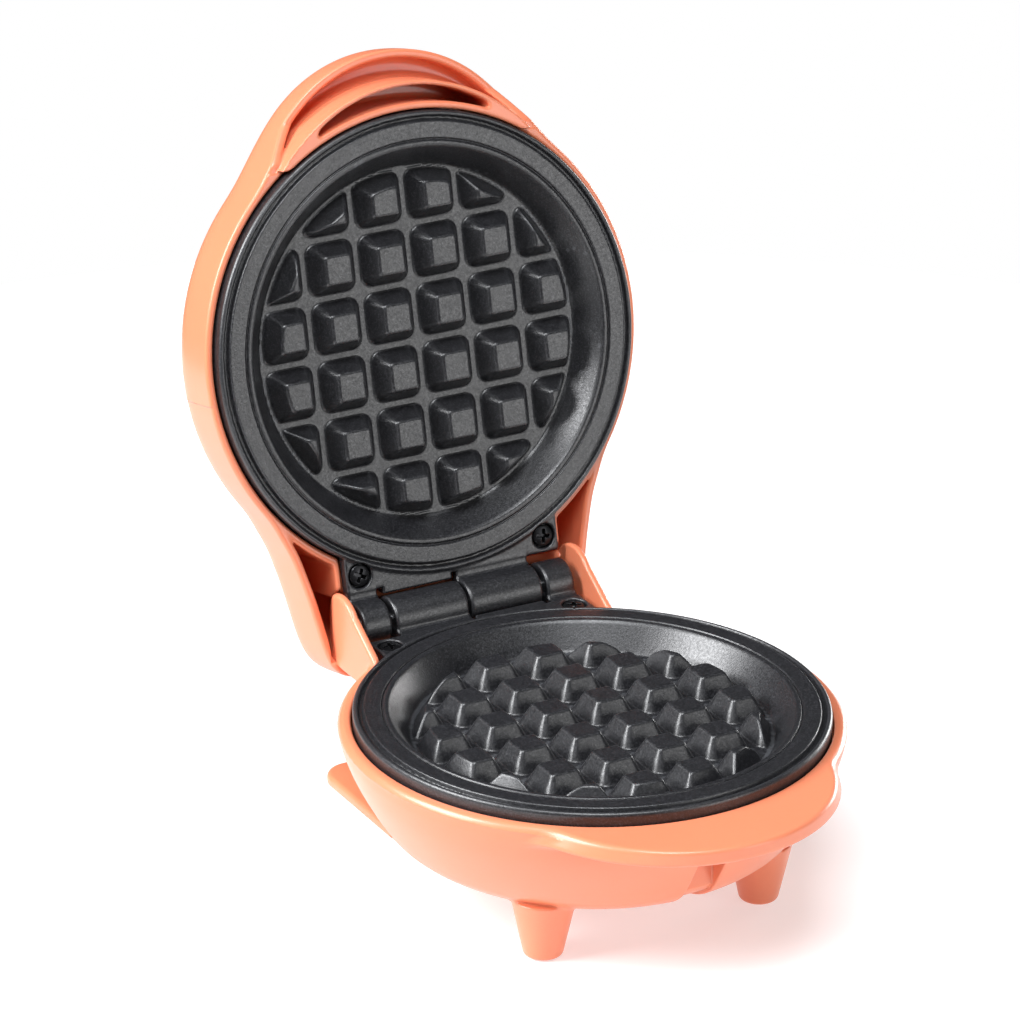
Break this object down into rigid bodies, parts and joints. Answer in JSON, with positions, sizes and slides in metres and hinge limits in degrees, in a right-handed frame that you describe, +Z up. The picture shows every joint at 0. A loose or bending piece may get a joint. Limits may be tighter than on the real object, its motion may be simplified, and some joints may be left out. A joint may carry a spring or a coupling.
{
  "type": "waffle maker",
  "caption": "Small round waffle maker: bowl-shaped base on short feet, non-stick square-patterned plates and a hinged domed lid with a grip at the front.",
  "frame": {"origin": "centre of the bounding box in plan, on the table under the feet, with the lid open", "axes": "+X to the object's right seen from the front, along the hinge pin; +Y to the rear, where the hinge is; +Z up"},
  "size_m": [0.1256, 0.2014, 0.1835],
  "materials": {
    "coral_plastic": "glossy moulded plastic",
    "nonstick_plate": "cast aluminium with a satin black non-stick coating",
    "black_screw": "black plated steel",
    "bare_steel": "zinc plated or bare steel",
    "heater_sheath": "oxidised sheath",
    "pale_plastic": "heat-resistant moulding",
    "black_rubber": "matt rubber"
  },
  "bodies": {
    "base": {"base_housing": "coral_plastic", "bottom_cover": "coral_plastic", "cover_screw_rear": "bare_steel", "cover_screw_left": "bare_steel", "cover_screw_right": "bare_steel", "cord_bushing": "black_rubber", "terminal_block": "pale_plastic", "base_plate": "nonstick_plate", "base_ear_screw_left": "black_screw", "base_ear_screw_right": "black_screw", "base_heater": "heater_sheath", "base_heat_shield": "bare_steel", "base_shield_screw": "bare_steel", "base_thermostat": "pale_plastic", "base_thermal_fuse": "bare_steel", "hinge_pin": "bare_steel"},
    "lid": {"lid_housing": "coral_plastic", "lid_plate": "nonstick_plate", "lid_ear_screw_left": "black_screw", "lid_ear_screw_right": "black_screw", "lid_heater": "heater_sheath", "lid_heat_shield": "bare_steel", "lid_shield_screw": "bare_steel", "lid_thermal_fuse": "bare_steel"}
  },
  "joints": [
    {"name": "lid_hinge", "type": "hinge", "parent": "base", "child": "lid", "pos_m": [0, 0.04493, 0.047], "axis": [1, 0, 0], "range_deg": [0, 103.3]}
  ]
}
